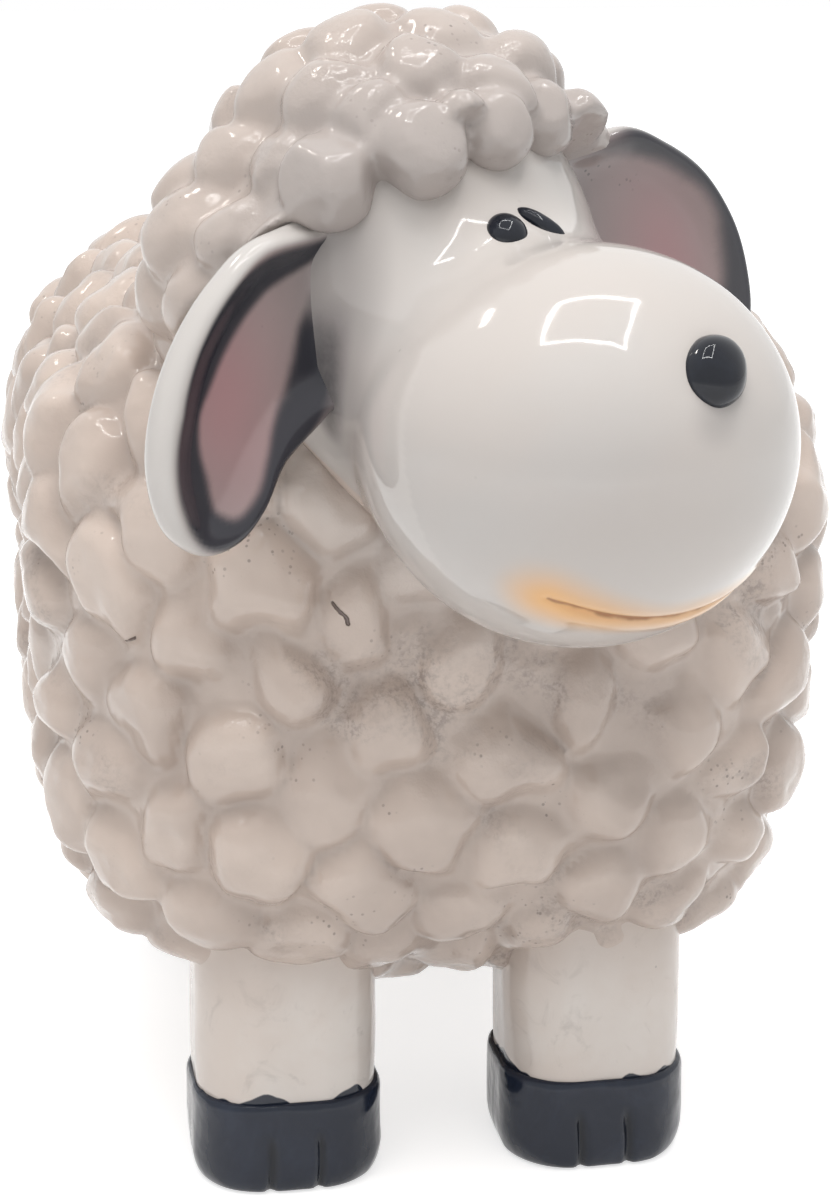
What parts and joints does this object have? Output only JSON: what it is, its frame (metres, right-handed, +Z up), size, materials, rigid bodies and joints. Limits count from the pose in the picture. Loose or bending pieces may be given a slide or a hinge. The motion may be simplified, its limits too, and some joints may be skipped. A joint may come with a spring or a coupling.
{
  "type": "sheep figurine",
  "caption": "Standing glazed ceramic sheep figurine with a curly fleece, a round white head turned to its left, hanging ears and short dark-footed legs.",
  "frame": {"origin": "centre of the overall box on the ground plane, under the trunk", "axes": "+Z up, the trunk lies along Y with the head at -Y, and +X is the sheep's own left, which its head turns towards"},
  "size_m": [0.129, 0.2108, 0.18],
  "materials": {
    "fleece_glaze": "glossy clear glaze over beige-pink paint",
    "face_glaze": "glossy clear glaze over white paint",
    "ear_glaze": "glossy glaze, dusty pink with a dark sprayed rim",
    "black_glaze": "glossy black",
    "leg_glaze": "glossy clear glaze over pinkish white paint",
    "hoof_glaze": "glossy anthracite"
  },
  "bodies": {
    "root": {"fleece_body": "fleece_glaze", "wool_hood": "fleece_glaze", "forelock": "fleece_glaze", "tail": "fleece_glaze", "head_shell": "face_glaze", "ear_right": "ear_glaze", "ear_left": "ear_glaze", "eye_right": "black_glaze", "eye_left": "black_glaze", "nose": "black_glaze", "leg_front_right": "leg_glaze", "leg_front_left": "leg_glaze", "leg_rear_right": "leg_glaze", "leg_rear_left": "leg_glaze", "hoof_front_right": "hoof_glaze", "hoof_front_left": "hoof_glaze", "hoof_rear_right": "hoof_glaze", "hoof_rear_left": "hoof_glaze"}
  },
  "joints": []
}
